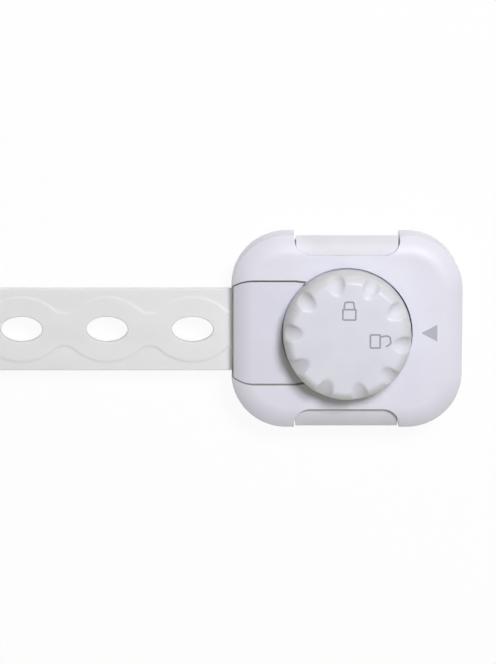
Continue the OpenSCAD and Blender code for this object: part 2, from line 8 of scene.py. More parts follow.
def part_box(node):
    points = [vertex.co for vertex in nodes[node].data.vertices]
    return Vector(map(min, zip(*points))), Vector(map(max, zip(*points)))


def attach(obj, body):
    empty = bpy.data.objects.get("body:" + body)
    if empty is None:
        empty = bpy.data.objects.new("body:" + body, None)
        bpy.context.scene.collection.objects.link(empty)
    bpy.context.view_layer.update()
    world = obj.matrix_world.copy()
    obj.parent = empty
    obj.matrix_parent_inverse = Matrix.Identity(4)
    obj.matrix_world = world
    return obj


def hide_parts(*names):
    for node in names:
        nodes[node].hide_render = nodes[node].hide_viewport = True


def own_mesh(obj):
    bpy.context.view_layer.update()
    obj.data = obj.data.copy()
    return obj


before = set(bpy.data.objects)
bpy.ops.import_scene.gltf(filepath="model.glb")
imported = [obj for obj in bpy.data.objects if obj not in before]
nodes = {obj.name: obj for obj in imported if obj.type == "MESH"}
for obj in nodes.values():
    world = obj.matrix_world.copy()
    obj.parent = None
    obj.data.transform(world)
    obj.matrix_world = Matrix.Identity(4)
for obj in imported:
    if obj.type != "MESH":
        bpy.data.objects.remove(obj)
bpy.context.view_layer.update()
scene = bpy.context.scene
mm = 0.001


def linear(code):  # sRGB hex to the linear colour that shaders take
    parts = [int(code[i:i + 2], 16) / 255 for i in (1, 3, 5)]
    return tuple(p / 12.92 if p <= 0.04045 else ((p + 0.055) / 1.055) ** 2.4 for p in parts) + (1.0,)


def addNode(tree, kind, links=None, stops=None, **settings):  # a node with its settings and what feeds it
    node = tree.nodes.new(kind)
    for name, value in settings.items():
        setattr(node, name, value)
    for name, value in (links or {}).items():
        if isinstance(value, bpy.types.NodeSocket):
            tree.links.new(value, node.inputs[name])
        else:
            node.inputs[name].default_value = value
    for i, (position, code) in enumerate(stops or []):
        node.color_ramp.elements[i].position = position
        node.color_ramp.elements[i].color = linear(code)
    return node


def startMaterial(name):
    material = bpy.data.materials.new(name)
    material.use_nodes = True
    material.node_tree.nodes.clear()
    return material, material.node_tree


# Camera: over the lock, leaning a little past its upper edge
cameraSettings = {"target": (-23.7, -0.06, 11.0), "distance": 750.0, "lean": 9.5, "lens": 169.5, "sensor": 36.0,
                  "clip": (0.01, 10.0)}


def makeCamera(settings):
    data = bpy.data.cameras.new("camera")
    data.lens = settings["lens"]
    data.sensor_width = settings["sensor"]
    data.clip_start, data.clip_end = settings["clip"]
    camera = bpy.data.objects.new("camera", data)
    lean = math.radians(settings["lean"])
    away = Vector((0, math.sin(lean), math.cos(lean))) * settings["distance"]
    camera.location = (Vector(settings["target"]) + away) * mm
    camera.rotation_euler = (-lean, 0, 0)
    scene.collection.objects.link(camera)
    scene.camera = camera


makeCamera(cameraSettings)
print("camera set")


def fromKnobAxis(tree, place):
    flat = addNode(tree, "ShaderNodeVectorMath", {0: place, 1: (1, 1, 0)}, operation="MULTIPLY")
    return addNode(tree, "ShaderNodeVectorMath", {0: flat.outputs["Vector"]}, operation="LENGTH").outputs["Value"]


def paintedRimShade(tree, place, settings):  # painted shade: the knob's rim and steep shoulders are coloured darker and greyer outwards, for the shade that falls on them
    radius = fromKnobAxis(tree, place)
    rim = addNode(tree, "ShaderNodeMapRange", {"Value": radius, "From Min": settings["rimShadeFrom"] * mm,
                  "From Max": settings["rimShadeTo"] * mm})
    return rim.outputs["Result"]


def paintedGapShade(tree, place, settings):  # painted shade: the groove round the knob is coloured near black on its right, as the deep shade in the gap there
    at = addNode(tree, "ShaderNodeSeparateXYZ", {"Vector": place})
    near = addNode(tree, "ShaderNodeMath", {0: fromKnobAxis(tree, place), 1: settings["gapRadius"] * mm},
                   operation="LESS_THAN")
    over = addNode(tree, "ShaderNodeMath", {0: at.outputs["Z"], 1: settings["gapLow"] * mm}, operation="GREATER_THAN")
    right = addNode(tree, "ShaderNodeMapRange", {"Value": at.outputs["X"], "From Min": settings["gapFrom"] * mm,
                    "From Max": settings["gapTo"] * mm})
    ring = addNode(tree, "ShaderNodeMath", {0: near.outputs[0], 1: over.outputs[0]}, operation="MULTIPLY")
    gapShadeShare = addNode(tree, "ShaderNodeMath", {0: ring.outputs[0], 1: right.outputs["Result"]}, operation="MULTIPLY")
    return gapShadeShare.outputs[0]


def paintedSeamShade(tree, place, settings):  # painted shade: the slopes that lead down beside the tongue are coloured darker, as the shade in the seams
    lean = math.radians(settings["seamLean"])
    across, down = math.cos(lean), math.sin(lean)
    line = (settings["seamHalf"] * across - settings["seamTop"] * down) * mm
    both = addNode(tree, "ShaderNodeVectorMath", {0: place}, operation="ABSOLUTE")
    level = addNode(tree, "ShaderNodeVectorMath", {0: both.outputs["Vector"], 1: (0, across, -down)},
                    operation="DOT_PRODUCT")
    slope = addNode(tree, "ShaderNodeMath", {0: level.outputs["Value"], 1: line, 2: settings["seamDepth"] * mm},
                    operation="COMPARE")
    at = addNode(tree, "ShaderNodeSeparateXYZ", {"Vector": place})
    left = addNode(tree, "ShaderNodeMath", {0: at.outputs["X"], 1: settings["seamEnd"] * mm}, operation="LESS_THAN")
    seamShadeShare = addNode(tree, "ShaderNodeMath", {0: slope.outputs[0], 1: left.outputs[0]}, operation="MULTIPLY")
    return seamShadeShare.outputs[0]


noiseLow, noiseHigh = 0.3, 0.7  # most of a noise's values lie between these


# ABS or acetal, injection moulded in a spark eroded tool: dense and even, with a soft satin gloss.
# The grain is about 0.08 mm, drawn at 0.4 mm so that it shows at all; the patches are faint flow marks.
def mouldedPlastic(name, settings):
    s = settings
    material, tree = startMaterial(name)
    place = addNode(tree, "ShaderNodeTexCoord").outputs["Object"]
    patch = addNode(tree, "ShaderNodeTexNoise", {"Vector": place, "Scale": 1 / (s["patch"] * mm), "Detail": 2.0})
    grain = addNode(tree, "ShaderNodeTexNoise", {"Vector": place, "Scale": 1 / (s["grain"] * mm), "Detail": 3.0})
    tint = addNode(tree, "ShaderNodeValToRGB", {"Fac": patch.outputs["Fac"]},
                   stops=[(noiseLow, s["colour"]), (noiseHigh, s["patchColour"])])
    rough = addNode(tree, "ShaderNodeMapRange", {"Value": grain.outputs["Fac"], "From Min": noiseLow,
                    "From Max": noiseHigh, "To Min": s["roughLow"], "To Max": s["roughHigh"]})
    bump = addNode(tree, "ShaderNodeBump", {"Height": grain.outputs["Fac"], "Strength": s["grainStrength"],
                   "Distance": s["grainLift"] * mm})
    colour = tint.outputs["Color"]
    # painted shade, where its colour is given: on the knob's rim, in the gap at the knob's right and on the slopes
    # beside the tongue
    for mark, share in (("rimShadeColour", paintedRimShade), ("gapShadeColour", paintedGapShade), ("seamShadeColour", paintedSeamShade)):
        if mark in s:
            colour = addNode(tree, "ShaderNodeMix", {0: share(tree, place, s), 6: colour, 7: linear(s[mark])},
                             data_type="RGBA").outputs[2]
    shader = addNode(tree, "ShaderNodeBsdfPrincipled", {"Base Color": colour, "Roughness": rough.outputs["Result"],
                     "Normal": bump.outputs["Normal"], "IOR": s["ior"]})
    addNode(tree, "ShaderNodeOutputMaterial", {"Surface": shader.outputs["BSDF"]})
    return material


absSettings = {"colour": "#E8E8F3", "patchColour": "#E4E4F0", "patch": 9.0, "grain": 0.4, "grainLift": 0.01,
               "grainStrength": 0.3, "roughLow": 0.40, "roughHigh": 0.50, "ior": 1.53}
acetalSettings = {"patch": 4.0, "grain": 0.4, "grainLift": 0.006, "grainStrength": 0.3, "roughLow": 0.28,
                  "roughHigh": 0.36, "ior": 1.48}
# painted shade in the gap at the knob's right and on the slopes that lead down beside the tongue
coverPaintedShade = {"gapShadeColour": "#3A3A3E", "gapRadius": 15.7, "gapLow": 11.5, "gapFrom": 10.2, "gapTo": 12.4,
              "seamShadeColour": "#A39D99", "seamHalf": 12.712, "seamTop": 13.0, "seamLean": 40.0, "seamEnd": -7.0,
              "seamDepth": 0.05}
# painted shade on the knob's rim and shoulders
knobRimShade = {"rimShadeColour": "#D7D8DC", "rimShadeFrom": 12.6, "rimShadeTo": 14.4}
shellAbs = mouldedPlastic("absMouldedShell", absSettings)
coverAbs = mouldedPlastic("absMouldedCover", {**absSettings, **coverPaintedShade})
headAbs = mouldedPlastic("absMouldedHead", {**absSettings, "colour": "#E2E2EE", "patchColour": "#DEDEEA",
                         "roughLow": 0.42, "roughHigh": 0.52})
knobAbs = mouldedPlastic("absMouldedKnob", {**absSettings, **knobRimShade, "colour": "#E4E5EF",
                         "patchColour": "#DFE0EB", "patch": 7.0, "roughLow": 0.36, "roughHigh": 0.46})
buttonAbs = mouldedPlastic("absMouldedButton", {**absSettings, "colour": "#E1E0E7", "patchColour": "#DCDBE2",
                           "patch": 6.0, "grainLift": 0.012, "roughLow": 0.44, "roughHigh": 0.54})
baseAbs = mouldedPlastic("absMouldedBase", {**absSettings, "colour": "#E0E0E6", "patchColour": "#D9D9E0",
                         "patch": 8.0, "grainLift": 0.014, "roughLow": 0.48, "roughHigh": 0.60})
forkAcetal = mouldedPlastic("acetalMouldedFork", {**acetalSettings, "colour": "#F1EFE6", "patchColour": "#EAE7DC"})
camAcetal = mouldedPlastic("acetalMouldedCam", {**acetalSettings, "colour": "#C9CDD3", "patchColour": "#C0C4CB"})


# TPU, injection moulded: milky and matt, light sinks in a little and flow lines run along the strap.
# The flow lines are some 6 mm apart across and 60 mm long. The grain is about 0.1 mm, drawn at 0.5 mm so that it shows.
def mouldedTpu(name, settings):
    s = settings
    material, tree = startMaterial(name)
    place = addNode(tree, "ShaderNodeTexCoord").outputs["Object"]
    along = addNode(tree, "ShaderNodeMapping", {"Vector": place, "Scale": (s["flowAcross"] / s["flowAlong"], 1, 1)})
    flow = addNode(tree, "ShaderNodeTexNoise", {"Vector": along.outputs["Vector"],
                   "Scale": 1 / (s["flowAcross"] * mm), "Detail": 2.0})
    grain = addNode(tree, "ShaderNodeTexNoise", {"Vector": place, "Scale": 1 / (s["grain"] * mm), "Detail": 2.0})
    tint = addNode(tree, "ShaderNodeValToRGB", {"Fac": flow.outputs["Fac"]},
                   stops=[(noiseLow, s["colour"]), (noiseHigh, s["flowColour"])])
    rough = addNode(tree, "ShaderNodeMapRange", {"Value": flow.outputs["Fac"], "From Min": noiseLow,
                    "From Max": noiseHigh, "To Min": s["roughLow"], "To Max": s["roughHigh"]})
    bump = addNode(tree, "ShaderNodeBump", {"Height": grain.outputs["Fac"], "Strength": s["grainStrength"],
                   "Distance": s["grainLift"] * mm})
    shader = addNode(tree, "ShaderNodeBsdfPrincipled", {"Base Color": tint.outputs["Color"],
                     "Roughness": rough.outputs["Result"], "Normal": bump.outputs["Normal"], "IOR": s["ior"],
                     "Subsurface Weight": s["milk"], "Subsurface Radius": s["milkTint"],
                     "Subsurface Scale": s["milkDepth"] * mm})
    addNode(tree, "ShaderNodeOutputMaterial", {"Surface": shader.outputs["BSDF"]})
    return material


strapTpu = mouldedTpu("tpuMouldedMilky", {"colour": "#F0F0F1", "flowColour": "#ECECED", "flowAcross": 6.0,
                      "flowAlong": 60.0, "grain": 0.5, "grainLift": 0.01, "grainStrength": 0.25, "roughLow": 0.70,
                      "roughHigh": 0.80, "ior": 1.5, "milk": 0.35, "milkTint": (1.0, 1.0, 0.95), "milkDepth": 0.9})


# Ink, pad printed: thin, matt and a touch uneven, so the plastic shows through in specks.
# The specks are about 0.15 mm, drawn at 0.3 mm so that they show.
def printedInk(name, settings):
    s = settings
    material, tree = startMaterial(name)
    place = addNode(tree, "ShaderNodeTexCoord").outputs["Object"]
    speck = addNode(tree, "ShaderNodeTexNoise", {"Vector": place, "Scale": 1 / (s["speck"] * mm), "Detail": 1.0})
    tint = addNode(tree, "ShaderNodeValToRGB", {"Fac": speck.outputs["Fac"]},
                   stops=[(s["thinFrom"], s["colour"]), (s["thinTo"], s["thinColour"])])
    shader = addNode(tree, "ShaderNodeBsdfPrincipled", {"Base Color": tint.outputs["Color"], "Roughness": s["rough"],
                     "IOR": s["ior"]})
    addNode(tree, "ShaderNodeOutputMaterial", {"Surface": shader.outputs["BSDF"]})
    return material


inkSettings = {"speck": 0.3, "thinFrom": 0.35, "thinTo": 0.75, "rough": 0.6, "ior": 1.5}
signInk = printedInk("inkPadPrintedGrey", {**inkSettings, "colour": "#9E9DA7", "thinColour": "#ACABB4"})
arrowInk = printedInk("inkPadPrintedPale", {**inkSettings, "colour": "#B4B5BE", "thinColour": "#BCBDC6"})


# Polyethylene foam tape, skived: off-white, quite matt, with open cells of about 0.35 mm at its cut edges.
def foamTape(name, settings):
    s = settings
    material, tree = startMaterial(name)
    place = addNode(tree, "ShaderNodeTexCoord").outputs["Object"]
    cells = addNode(tree, "ShaderNodeTexVoronoi", {"Vector": place, "Scale": 1 / (s["cell"] * mm)})
    # painted shade: the pits of the cells, sunk by the bump, are coloured darker
    tint = addNode(tree, "ShaderNodeValToRGB", {"Fac": cells.outputs["Distance"]},
                   stops=[(s["pitEdge"], s["pitShadeColour"]), (s["wallEdge"], s["colour"])])
    bump = addNode(tree, "ShaderNodeBump", {"Height": cells.outputs["Distance"], "Strength": s["pitStrength"],
                   "Distance": s["pitDepth"] * mm})
    shader = addNode(tree, "ShaderNodeBsdfPrincipled", {"Base Color": tint.outputs["Color"], "Roughness": s["rough"],
                     "Normal": bump.outputs["Normal"], "IOR": s["ior"]})
    addNode(tree, "ShaderNodeOutputMaterial", {"Surface": shader.outputs["BSDF"]})
    return material


tapeFoam = foamTape("polyethyleneFoamSkived", {"colour": "#EDEDE8", "pitShadeColour": "#DCDCD6", "cell": 0.35,
                    "pitEdge": 0.1, "wallEdge": 0.6, "pitStrength": 0.5, "pitDepth": 0.05, "rough": 0.85, "ior": 1.5})


# Steel: screws zinc plated, with a cloudy spangle, and wire drawn, with fine lines along its length.
def brightSteel(name, settings):
    s = settings
    material, tree = startMaterial(name)
    place = addNode(tree, "ShaderNodeTexCoord").outputs["Object"]
    along = addNode(tree, "ShaderNodeMapping", {"Vector": place, "Scale": s["stretch"]})
    cloud = addNode(tree, "ShaderNodeTexNoise", {"Vector": along.outputs["Vector"], "Scale": 1 / (s["mark"] * mm),
                    "Detail": 3.0})
    tint = addNode(tree, "ShaderNodeValToRGB", {"Fac": cloud.outputs["Fac"]},
                   stops=[(noiseLow, s["colour"]), (noiseHigh, s["markColour"])])
    rough = addNode(tree, "ShaderNodeMapRange", {"Value": cloud.outputs["Fac"], "From Min": noiseLow,
                    "From Max": noiseHigh, "To Min": s["roughLow"], "To Max": s["roughHigh"]})
    shader = addNode(tree, "ShaderNodeBsdfPrincipled", {"Base Color": tint.outputs["Color"],
                     "Roughness": rough.outputs["Result"], "Metallic": 1.0})
    addNode(tree, "ShaderNodeOutputMaterial", {"Surface": shader.outputs["BSDF"]})
    return material


screwSteel = brightSteel("steelZincPlated", {"colour": "#C8CBCF", "markColour": "#B7BCC4", "mark": 0.8,
                         "stretch": (1, 1, 1), "roughLow": 0.25, "roughHigh": 0.4})
wireSteel = brightSteel("steelDrawnSpring", {"colour": "#BFC0C4", "markColour": "#A7A8AE", "mark": 0.3,
                        "stretch": (1, 0.1, 1), "roughLow": 0.2, "roughHigh": 0.32})


# Vulcanised fibre, punched: grey and dull, with short fibres of about 1 mm.
def punchedFibre(name, settings):
    s = settings
    material, tree = startMaterial(name)
    place = addNode(tree, "ShaderNodeTexCoord").outputs["Object"]
    hair = addNode(tree, "ShaderNodeTexNoise", {"Vector": place, "Scale": 1 / (s["fibre"] * mm), "Detail": 6.0,
                   "Distortion": s["tangle"]})
    tint = addNode(tree, "ShaderNodeValToRGB", {"Fac": hair.outputs["Fac"]},
                   stops=[(s["fibreFrom"], s["colour"]), (s["fibreTo"], s["fibreColour"])])
    bump = addNode(tree, "ShaderNodeBump", {"Height": hair.outputs["Fac"], "Strength": s["liftStrength"],
                   "Distance": s["lift"] * mm})
    shader = addNode(tree, "ShaderNodeBsdfPrincipled", {"Base Color": tint.outputs["Color"], "Roughness": s["rough"],
                     "Normal": bump.outputs["Normal"]})
    addNode(tree, "ShaderNodeOutputMaterial", {"Surface": shader.outputs["BSDF"]})
    return material


washerFibre = punchedFibre("fibrePunchedGrey", {"colour": "#B9BBBE", "fibreColour": "#A5A7AB", "fibre": 1.0,
                           "tangle": 2.0, "fibreFrom": 0.35, "fibreTo": 0.65, "lift": 0.02, "liftStrength": 0.3,
                           "rough": 0.8})
print("materials made")


# CAD nodes that stay: welded, flats joined, edges broken as a mould leaves them
skinSettings = {"weld": 0.002, "flatAngle": 0.3, "edgeAngle": 32.0, "edgeSteps": 3}
dressing = {  # material and width of the broken edges
    "housing_cover": (coverAbs, 0.08), "tongue_head": (headAbs, 0.08), "anchor_lid": (shellAbs, 0.35),
    "upper_button": (buttonAbs, 0.2), "lower_button": (buttonAbs, 0.2), "housing_base": (baseAbs, 0.08),
    "tongue_carrier": (baseAbs, 0.2), "anchor_base": (baseAbs, 0.1), "lock_cam": (camAcetal, 0.12),
    "friction_washer": (washerFibre, 0.03), "cover_screws": (screwSteel, 0.08), "knob_screw": (screwSteel, 0.08),
    "tongue_screws": (screwSteel, 0.08), "detent_spring": (wireSteel, 0.04), "hinge_pin": (wireSteel, 0.15)}


def makeCleanSkin(settings):
    group = bpy.data.node_groups.new("cleanSkin", "GeometryNodeTree")
    group.interface.new_socket("Geometry", in_out="INPUT", socket_type="NodeSocketGeometry")
    group.interface.new_socket("Geometry", in_out="OUTPUT", socket_type="NodeSocketGeometry")
    enter = addNode(group, "NodeGroupInput")
    weld = addNode(group, "GeometryNodeMergeByDistance", {"Geometry": enter.outputs[0],
                   "Distance": settings["weld"] * mm})
    bare = addNode(group, "GeometryNodeRemoveAttribute", {"Geometry": weld.outputs[0], "Name": "custom_normal"})
    smooth = addNode(group, "GeometryNodeSetShadeSmooth", {"Geometry": bare.outputs[0], "Shade Smooth": True},
                     domain="FACE")
    addNode(group, "NodeGroupOutput", {"Geometry": smooth.outputs[0]})
    return group


def dressNode(name, material, edge, group, settings):
    piece = nodes[name]
    for i in range(len(piece.material_slots)):
        piece.material_slots[i].material = material
    skin = piece.modifiers.new("skin", "NODES")
    skin.node_group = group
    flats = piece.modifiers.new("flats", "DECIMATE")
    flats.decimate_type = "DISSOLVE"
    flats.angle_limit = math.radians(settings["flatAngle"])
    edges = piece.modifiers.new("edges", "BEVEL")
    edges.width = edge * mm
    edges.segments = settings["edgeSteps"]
    edges.limit_method = "ANGLE"
    edges.angle_limit = math.radians(settings["edgeAngle"])
    edges.use_clamp_overlap = False
    piece.modifiers.new("shade", "WEIGHTED_NORMAL").keep_sharp = True


cleanSkin = makeCleanSkin(skinSettings)
for name, (material, edge) in dressing.items():
    dressNode(name, material, edge, cleanSkin, skinSettings)
print("CAD nodes dressed")


def newPiece(name, points, faces, material, body, sharp=40):  # points in mm
    mesh = bpy.data.meshes.new(name)
    mesh.from_pydata([tuple(float(c) * mm for c in p) for p in points], [], [tuple(int(i) for i in f) for f in faces])
    mesh.update()
    mesh.shade_smooth()
    mesh.set_sharp_from_angle(angle=math.radians(sharp))
    mesh.materials.append(material)
    piece = bpy.data.objects.new(name, mesh)
    scene.collection.objects.link(piece)
    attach(piece, body)
    return piece


def ringFaces(first, second, count):  # quads between two closed rings of points
    return [(first + i, first + (i + 1) % count, second + (i + 1) % count, second + i) for i in range(count)]


# Knob: a domed round body with ten soft flutes, hollow below, on its stem
knobSettings = {"radius": 15.4, "topRadius": 12.8, "bottom": 12.05, "top": 22.05, "crown": 0.2, "skirt": 6.0,
                "draft": 0.2, "rimRound": 0.3, "fluteCount": 10, "fluteRadius": 2.0, "fluteReach": 10.5,
                "fluteLean": 55.0, "fluteStart": -6.0, "soft": 0.25, "hollow": 11.5, "hollowTop": 18.05,
                "hollowRound": 0.5, "mouthEdge": 0.2, "stem": 4.0, "stemEnd": 10.3, "stemRound": 0.4, "key": 3.2,
                "keyFlat": 2.3, "keyEnd": 7.6, "keyEdge": 0.2, "bore": 1.25, "boreTop": 12.9, "boreMiddle": 0.3,
                "sectors": 400, "coarseRings": (0.4, 9.6, 10), "fineStart": 9.9, "fineStep": 0.18,
                "shoulderRings": 42, "heart": 2.5, "searchSlack": 1.001, "searchSteps": 26}


def knobTopHeight(settings, r):
    return settings["top"] - settings["crown"] * (r / settings["topRadius"]) ** 2


def knobProfile(settings):  # outer section from the middle of the top to the rim
    s = settings
    flat = np.concatenate([np.linspace(*s["coarseRings"]), np.arange(s["fineStart"], s["topRadius"], s["fineStep"])])
    rise = s["top"] - s["crown"] - s["bottom"] - s["skirt"]
    reach = s["radius"] - s["draft"] - s["topRadius"]
    points = [(r, knobTopHeight(s, r)) for r in flat]
    points += [(s["topRadius"] + reach * math.cos(a), s["bottom"] + s["skirt"] + rise * math.sin(a))
               for a in np.radians(np.linspace(90, 0, s["shoulderRings"]))]
    points += [(s["radius"] - s["draft"] * share, s["bottom"] + s["skirt"] * share) for share in (0.8, 0.6, 0.4, 0.2)]
    points += [(s["radius"] - s["rimRound"] * (1 - math.cos(a)), s["bottom"] + s["rimRound"] * (1 - math.sin(a)))
               for a in np.radians((0, 30, 60, 90))]
    return np.array(points)


def knobOutside(settings, turn):  # rings of the fluted outside, found along rays from the knob's heart
    s = settings
    profile = knobProfile(s)
    heart = s["bottom"] + s["heart"]
    rays = profile - np.array([0.0, heart])
    reach = np.hypot(rays[:, 0], rays[:, 1])
    rays /= reach[:, None]
    step = 2 * math.pi / s["fluteCount"]
    off = (turn - math.radians(s["fluteStart"]) + step / 2) % step - step / 2
    lean = math.radians(s["fluteLean"])
    axisRadius = s["fluteReach"] + s["fluteRadius"] * math.cos(lean)
    axisHeight = s["top"] + s["fluteRadius"] * math.sin(lean)

    def outside(t):  # above 0 where a point t along its ray is clear of the knob
        r = rays[:, 0][:, None] * t
        z = heart + rays[:, 1][:, None] * t
        body = np.full(t.shape, np.inf)
        for a, d in zip(profile, np.diff(profile, axis=0)):
            share = np.clip(((r - a[0]) * d[0] + (z - a[1]) * d[1]) / (d @ d), 0, 1)
            body = np.minimum(body, np.hypot(r - a[0] - share * d[0], z - a[1] - share * d[1]))
        body = np.where(t < reach[:, None], -body, body)
        level = (r * np.cos(off) - axisRadius) * math.cos(lean) + (z - axisHeight) * math.sin(lean)
        flute = s["fluteRadius"] - np.hypot(level, r * np.sin(off))
        return (body + flute + np.sqrt((body - flute) ** 2 + s["soft"] ** 2)) / 2

    low = np.zeros((len(profile), len(turn)))
    high = np.repeat(reach[:, None] * s["searchSlack"], len(turn), axis=1)
    for i in range(s["searchSteps"]):
        middle = (low + high) / 2
        clear = outside(middle) > 0
        high = np.where(clear, middle, high)
        low = np.where(clear, low, middle)
    r = rays[:, 0][:, None] * low
    z = heart + rays[:, 1][:, None] * low
    return [np.stack([r[i] * np.cos(turn), r[i] * np.sin(turn), z[i]], 1) for i in range(len(profile))]


def knobUnderside(settings, turn):  # rings of the hollow, the stem, its key and the screw's bore
    s = settings
    key = np.minimum(s["key"], s["keyFlat"] / np.maximum(np.abs(np.sin(turn)), 1e-6))
    section = [(s["hollow"] + s["mouthEdge"], s["bottom"]), (s["hollow"], s["bottom"] + s["mouthEdge"]),
               (s["hollow"], s["hollowTop"] - s["hollowRound"]), (s["hollow"] - s["hollowRound"], s["hollowTop"]),
               (s["stem"] + s["stemRound"], s["hollowTop"]), (s["stem"], s["hollowTop"] - s["stemRound"]),
               (s["stem"], s["stemEnd"]), (key, s["stemEnd"]), (key, s["keyEnd"] + s["keyEdge"]),
               (key - s["keyEdge"], s["keyEnd"]), (s["bore"], s["keyEnd"]), (s["bore"], s["boreTop"]),
               (s["boreMiddle"], s["boreTop"])]
    return [np.stack([radius * np.cos(turn), radius * np.sin(turn), np.full(len(turn), height)], 1)
            for radius, height in section]


def makeKnob(settings):
    count = settings["sectors"]
    turn = np.linspace(0, 2 * math.pi, count, endpoint=False)
    rings = knobOutside(settings, turn) + knobUnderside(settings, turn)
    faces = []
    for i in range(len(rings) - 1):
        faces += [f[::-1] for f in ringFaces(i * count, (i + 1) * count, count)]
    last = (len(rings) - 1) * count
    faces.append(tuple(range(count)))
    faces.append(tuple(range(last + count - 1, last - 1, -1)))
    return newPiece("fluted_knob", np.concatenate(rings), faces, knobAbs, "knob")


knob = makeKnob(knobSettings)
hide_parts("knob")
print("knob made")


def insetLoop(loop, distance):  # moves a closed line to its left, the side of the material
    before, after = np.roll(loop, 1, 0), np.roll(loop, -1, 0)
    a, b = loop - before, after - loop
    a /= np.linalg.norm(a, axis=1)[:, None]
    b /= np.linalg.norm(b, axis=1)[:, None]
    left = np.stack([-(a[:, 1] + b[:, 1]), a[:, 0] + b[:, 0]], 1)
    left /= np.linalg.norm(left, axis=1)[:, None]
    grow = np.clip(left[:, 0] * -a[:, 1] + left[:, 1] * a[:, 0], 0.5, 1)  # a sharp corner moves twice as far at most
    return loop + left * (distance / grow)[:, None]


def isInside(loop, points):
    inside = np.zeros(len(points), bool)
    for (x0, y0), (x1, y1) in zip(loop, np.roll(loop, -1, 0)):
        crosses = (y0 > points[:, 1]) != (y1 > points[:, 1])
        if y0 != y1:
            inside ^= crosses & (points[:, 0] < (x1 - x0) * (points[:, 1] - y0) / (y1 - y0) + x0)
    return inside


def fillFlat(outer, holes):  # triangles between closed lines, each given as its points and its first index
    samePoint = 1e-7
    points, ids, edges = [], [], []
    for line, first in [outer] + holes:
        start = len(points)
        points += [Vector(p) for p in line]
        ids += range(first, first + len(line))
        edges += [(start + i, start + (i + 1) % len(line)) for i in range(len(line))]
    out, _, faces, origin, _, _ = delaunay_2d_cdt(points, edges, [], 0, samePoint)
    triangles = np.array(faces)
    middles = np.array([[p.x, p.y] for p in out])[triangles].mean(1)
    keep = isInside(outer[0], middles)
    for line, _ in holes:
        keep &= ~isInside(line, middles)
    return [tuple(ids[origin[i][0]] for i in f) for f in triangles[keep]]


def roundedRings(loop, low, high, edge, steps):  # rings round a plate's side, from its lower face to its upper
    rings = []
    for i in range(steps + 1):
        a = math.pi / 2 * i / steps
        rings.append((insetLoop(loop, edge * (1 - math.sin(a))), low + edge * (1 - math.cos(a))))
    for i in range(steps + 1):
        a = math.pi / 2 * i / steps
        rings.append((insetLoop(loop, edge * (1 - math.cos(a))), high - edge * (1 - math.sin(a))))
    return rings


def layRings(points, faces, rings):  # adds stacked rings and the faces between them, returns first indices
    firsts = []
    for line, height in rings:
        firsts.append(len(points))
        points += [(x, y, height) for x, y in line]
    for a, b in zip(firsts, firsts[1:]):
        faces += ringFaces(a, b, len(rings[0][0]))
    return firsts


def oval(x, y, a, b, count=48):  # a hole's edge, material on the left
    t = -np.linspace(0, 2 * math.pi, count, endpoint=False)
    return np.stack([x + a * np.cos(t), y + b * np.sin(t)], 1)


def cornered(points, steps=6):  # closed line through corners given as x, y and rounding radius
    line = []
    for i, (x, y, radius) in enumerate(points):
        here = np.array([x, y], float)
        if radius == 0:
            line.append(here)
            continue
        a = np.array(points[i - 1][:2], float) - here
        b = np.array(points[(i + 1) % len(points)][:2], float) - here
        a /= np.linalg.norm(a)
        b /= np.linalg.norm(b)
        half = math.acos(np.clip(a @ b, -1, 1)) / 2
        centre = here + (a + b) / np.linalg.norm(a + b) * radius / math.sin(half)
        start = here + a * radius / math.tan(half) - centre
        end = here + b * radius / math.tan(half) - centre
        swing = math.acos(np.clip(start @ end / radius ** 2, -1, 1))
        for k in range(steps + 1):
            share = k / steps
            p = (math.sin((1 - share) * swing) * start + math.sin(share * swing) * end) / math.sin(swing)
            line.append(centre + p)
    return np.array(line)


# Strap: a soft edged tape with oval holes and a raised band that swells round each hole, on both faces
strapSettings = {"low": 5.9, "high": 7.7, "half": 10.0, "right": -27.35, "tab": -15.8, "tabHalf": 7.0,
                 "tail": -149.3, "tailRound": 6.0, "cornerRound": 0.8, "neckRound": 0.4, "cornerSteps": 10,
                 "edge": 0.25, "edgeSteps": 4, "holeFirst": -37.1, "pitch": 20.6, "holes": 6, "holeLength": 10.0,
                 "holeWidth": 6.2, "holeEdge": 0.3, "holeSteps": 3, "band": 0.22, "bandWide": 7.9, "bandNarrow": 4.0,
                 "bandLobe": 9.7, "bandSoft": 1.2, "bandRight": -27.6, "bandTail": 7.4, "bandPoints": 210,
                 "slope": 0.85, "slopeOut": 0.4, "slopeRings": 7, "pegX": -20.25, "pegY": 3.6, "pegHole": 1.85,
                 "pegPoints": 24, "pegEdge": 0.15, "pegSteps": 2, "sharp": 60}


def bandHalf(s, x):
    turns = (s["holeFirst"] - x) / s["pitch"]
    off = (turns - np.round(turns)) * s["pitch"]
    lobe = s["bandWide"] * np.sqrt(np.maximum(0, 1 - (off / s["bandLobe"]) ** 2))
    return (lobe + s["bandNarrow"] + np.sqrt((lobe - s["bandNarrow"]) ** 2 + s["bandSoft"] ** 2)) / 2


def bandLine(s):
    last = s["holeFirst"] - (s["holes"] - 1) * s["pitch"]
    x = np.linspace(last - s["bandTail"], s["bandRight"], s["bandPoints"])
    half = bandHalf(s, x)
    return np.concatenate([np.stack([x, -half], 1), np.stack([x[::-1], half[::-1]], 1)])


